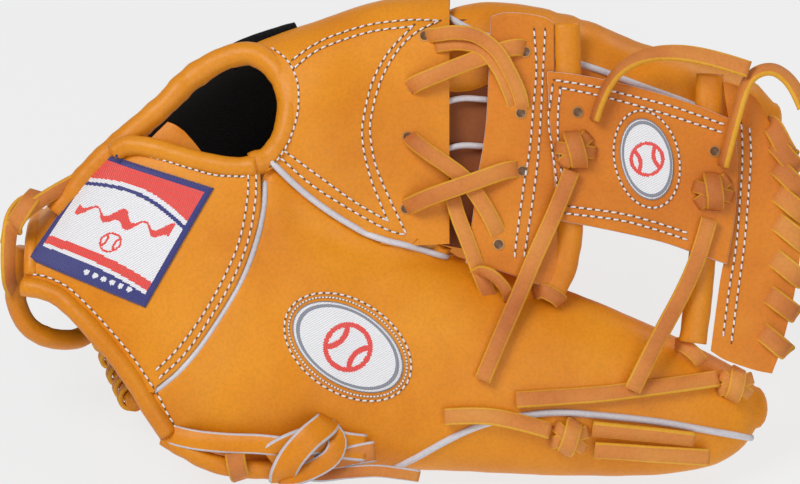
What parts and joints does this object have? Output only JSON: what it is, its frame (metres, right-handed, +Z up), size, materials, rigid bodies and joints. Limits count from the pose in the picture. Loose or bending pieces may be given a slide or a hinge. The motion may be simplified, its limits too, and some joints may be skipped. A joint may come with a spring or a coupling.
{
  "type": "baseball glove",
  "caption": "Leather infield baseball glove for the left hand, standing pocket down: finger stalls, thumb, laced two-bar web with a centre panel, wrist strap and back opening.",
  "frame": {"origin": "middle of the footprint, on the floor that the glove stands on, loose lace ends not counted", "axes": "+X runs from the wrist to the fingertips, +Y away from the thumb and web side, +Z up"},
  "size_m": [0.3078, 0.2188, 0.1625],
  "materials": {
    "shell_leather": "smooth full-grain leather, golden tan",
    "binding_leather": "soft rolled leather binding",
    "inner_leather": "soft brown lining leather",
    "lace_leather": "rawhide lace, yellow at its cut edges",
    "piping": "pale grey leather welt",
    "lining": "black knitted lining",
    "felt": "pressed wool felt",
    "patch_navy": "embroidered patch, navy with a white field",
    "patch_white": "embroidered satin stitch, white",
    "stay_plastic": "moulded stay"
  },
  "bodies": {
    "hand": {"base_foot_lace": "lace_leather", "base_lace_lower": "lace_leather", "base_lace_upper": "lace_leather", "finger_lace": "lace_leather", "hand_back_lining": "lining", "hand_back_panel": "shell_leather", "heel_binding": "binding_leather", "heel_lace": "lace_leather", "heel_tab": "shell_leather", "index_liner": "inner_leather", "index_piping": "piping", "index_stall": "shell_leather", "middle_liner": "inner_leather", "middle_stall": "shell_leather", "opening_binding": "binding_leather", "palm_lining": "lining", "palm_pad": "felt", "palm_shell": "shell_leather", "pinky_liner": "inner_leather", "pinky_stall": "shell_leather", "ring_liner": "inner_leather", "ring_stall": "shell_leather", "strap_lining": "lining", "strap_piping": "piping", "thumb_top_piping": "piping", "wrist_binding": "binding_leather", "wrist_lace": "lace_leather", "wrist_patch": "patch_navy", "wrist_strap": "shell_leather"},
    "thumb": {"thumb_shell": "shell_leather", "thumb_stay": "stay_plastic", "thumb_heel_pad": "felt", "thumb_liner": "inner_leather", "thumb_patch": "patch_white", "thumb_piping": "piping", "thumb_strap_band": "shell_leather", "thumb_strap_ends": "shell_leather", "lace_end_thumb_tip": "lace_leather", "lace_end_thumb_left": "lace_leather", "lace_end_thumb_low": "lace_leather", "lace_end_thumb_high": "lace_leather", "thumb_knot": "lace_leather", "thumb_tip_knot": "lace_leather", "thumb_strap_knot": "shell_leather", "base_foot_bit": "lace_leather", "top_foot_bit": "lace_leather"},
    "web": {"web_base_bar": "shell_leather", "web_center_panel": "shell_leather", "web_patch": "patch_white", "web_top_bar": "shell_leather", "web_rim_lace": "lace_leather", "web_base_roll": "shell_leather", "web_top_roll": "shell_leather", "lace_end_left_down": "lace_leather", "lace_end_right_down": "lace_leather", "lace_end_left_up": "lace_leather", "lace_end_right_up": "lace_leather", "web_knot_left": "lace_leather", "web_knot_right": "lace_leather"}
  },
  "joints": [
    {"name": "thumb_close", "type": "hinge", "parent": "hand", "child": "thumb", "pos_m": [0.00739, -0.03485, 0.08772], "axis": [1, 0, 0], "range_deg": [0, 20], "stiffness_Nm_per_rad": 1.2, "springref_deg": -2.86},
    {"name": "web_fold", "type": "hinge", "parent": "hand", "child": "web", "pos_m": [0.07739, -0.00956, 0.15238], "axis": [1, 0, 0], "range_deg": [0, 4]}
  ],
  "couplings": [
    {"joint": "web_fold", "follows": "thumb_close", "ratio": 0.2}
  ]
}
